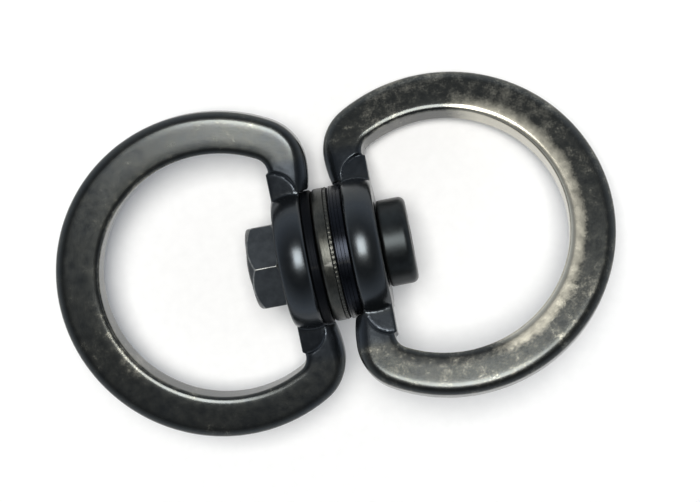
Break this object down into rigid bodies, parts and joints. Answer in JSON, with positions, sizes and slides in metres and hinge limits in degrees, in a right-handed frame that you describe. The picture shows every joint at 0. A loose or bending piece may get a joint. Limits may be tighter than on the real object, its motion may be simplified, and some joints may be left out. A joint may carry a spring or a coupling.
{
  "type": "double d-ring swivel",
  "caption": "Two D-shaped steel rings joined back to back by a bolt with a thrust ball bearing, so that each ring can turn freely on the common axis.",
  "frame": {"origin": "middle of the swivel on the bolt's axis, which is the centre of the whole part's box", "axes": "+X along the bolt's axis from the nut to the bolt's round head; +Z square to the flat face of the nut-side ring; +Y completes the right-handed set, along that ring's bar. At rest the head-side ring is turned -22.5 degrees about +X"},
  "size_m": [0.0766, 0.045, 0.0208],
  "materials": {
    "black_oxide_casting": "black oxide on a fine blasted surface, rubbed bare in patches and along the edges",
    "black_oxide_turned": "glossy black oxide over turned metal",
    "worn_steel": "burnished, slightly dulled bare steel",
    "bearing_ball_steel": "polished hardened steel"
  },
  "bodies": {
    "nut_side": {"ring_nut_side": "black_oxide_casting", "race_nut_side": "black_oxide_turned"},
    "head_side": {"ring_head_side": "black_oxide_casting", "race_head_side": "black_oxide_turned"},
    "ball_set": {"cage_body": "worn_steel", "cage_cover": "worn_steel", "ball_01": "bearing_ball_steel", "ball_02": "bearing_ball_steel", "ball_03": "bearing_ball_steel", "ball_04": "bearing_ball_steel", "ball_05": "bearing_ball_steel", "ball_06": "bearing_ball_steel", "ball_07": "bearing_ball_steel", "ball_08": "bearing_ball_steel", "ball_09": "bearing_ball_steel", "ball_10": "bearing_ball_steel", "ball_11": "bearing_ball_steel", "ball_12": "bearing_ball_steel"},
    "pin": {"swivel_bolt": "black_oxide_turned", "hex_nut": "black_oxide_turned"}
  },
  "joints": [
    {"name": "ring_turn", "type": "hinge", "parent": "nut_side", "child": "head_side", "pos_m": [0, 0, 0], "axis": [1, 0, 0], "continuous": true},
    {"name": "ball_set_turn", "type": "hinge", "parent": "nut_side", "child": "ball_set", "pos_m": [0, 0, 0], "axis": [1, 0, 0], "continuous": true},
    {"name": "pin_turn", "type": "hinge", "parent": "nut_side", "child": "pin", "pos_m": [0, 0, 0], "axis": [1, 0, 0], "continuous": true}
  ],
  "couplings": [
    {"joint": "ball_set_turn", "follows": "ring_turn", "ratio": 0.5}
  ]
}
